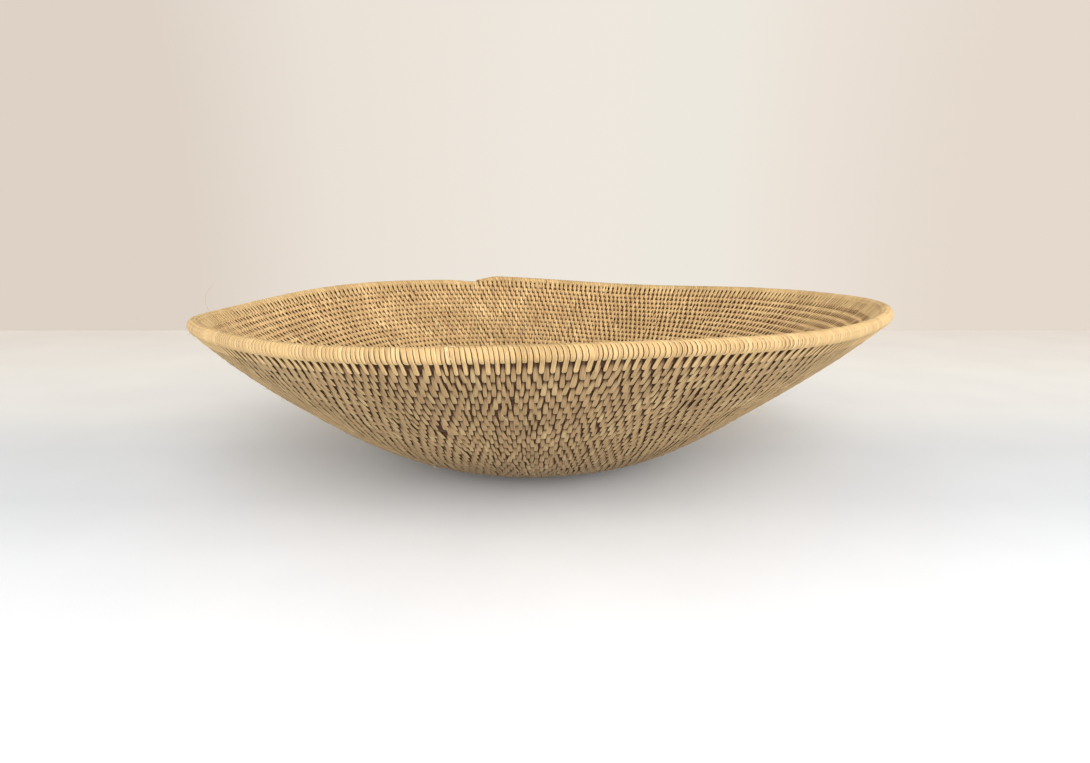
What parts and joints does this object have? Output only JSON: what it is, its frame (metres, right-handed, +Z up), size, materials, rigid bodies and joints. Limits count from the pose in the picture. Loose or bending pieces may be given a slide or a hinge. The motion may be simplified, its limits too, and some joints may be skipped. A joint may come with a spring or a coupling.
{
  "type": "winnowing basket",
  "caption": "Wide shallow coiled basket for winnowing grain, a stem coil sewn with split root, rising from a small flat base to a thick overcast rim.",
  "frame": {"origin": "middle of the flat underside of the start knot, where the basket stands on the ground", "axes": "+Z up out of the bowl; the coil's end on the rim lies towards +Y, slightly to -X; +X to the right when seen from -Y"},
  "size_m": [0.4575, 0.4594, 0.1193],
  "materials": {
    "sewn_coil": "split root splint, dry and matt, warm tan",
    "foundation_stems": "thin bundled stems, dull brown",
    "rim_splint": "tight overcast splint, pale straw yellow, slight sheen from handling"
  },
  "bodies": {
    "root": {"start_knot": "sewn_coil", "coil_turn_01": "sewn_coil", "coil_turn_02": "sewn_coil", "coil_turn_03": "sewn_coil", "coil_turn_04": "sewn_coil", "coil_turn_05": "sewn_coil", "coil_turn_06": "sewn_coil", "coil_turn_07": "sewn_coil", "coil_turn_08": "sewn_coil", "coil_turn_09": "sewn_coil", "coil_turn_10": "sewn_coil", "coil_turn_11": "sewn_coil", "coil_turn_12": "sewn_coil", "coil_turn_13": "sewn_coil", "coil_turn_14": "sewn_coil", "coil_turn_15": "sewn_coil", "coil_turn_16": "sewn_coil", "coil_turn_17": "sewn_coil", "coil_turn_18": "sewn_coil", "coil_turn_19": "sewn_coil", "coil_turn_20": "sewn_coil", "coil_turn_21": "sewn_coil", "coil_turn_22": "sewn_coil", "coil_turn_23": "sewn_coil", "coil_turn_24": "sewn_coil", "coil_turn_25": "sewn_coil", "coil_turn_26": "sewn_coil", "coil_turn_27": "sewn_coil", "coil_turn_28": "sewn_coil", "coil_turn_29": "sewn_coil", "coil_turn_30": "sewn_coil", "coil_turn_31": "sewn_coil", "coil_turn_32": "sewn_coil", "coil_turn_33": "sewn_coil", "coil_turn_34": "sewn_coil", "coil_turn_35": "sewn_coil", "coil_turn_36": "sewn_coil", "coil_turn_37": "sewn_coil", "coil_turn_38": "sewn_coil", "coil_turn_39": "sewn_coil", "coil_turn_40": "sewn_coil", "coil_turn_41": "sewn_coil", "coil_turn_42": "sewn_coil", "rim_core": "foundation_stems", "rim_binding": "rim_splint"}
  },
  "joints": []
}
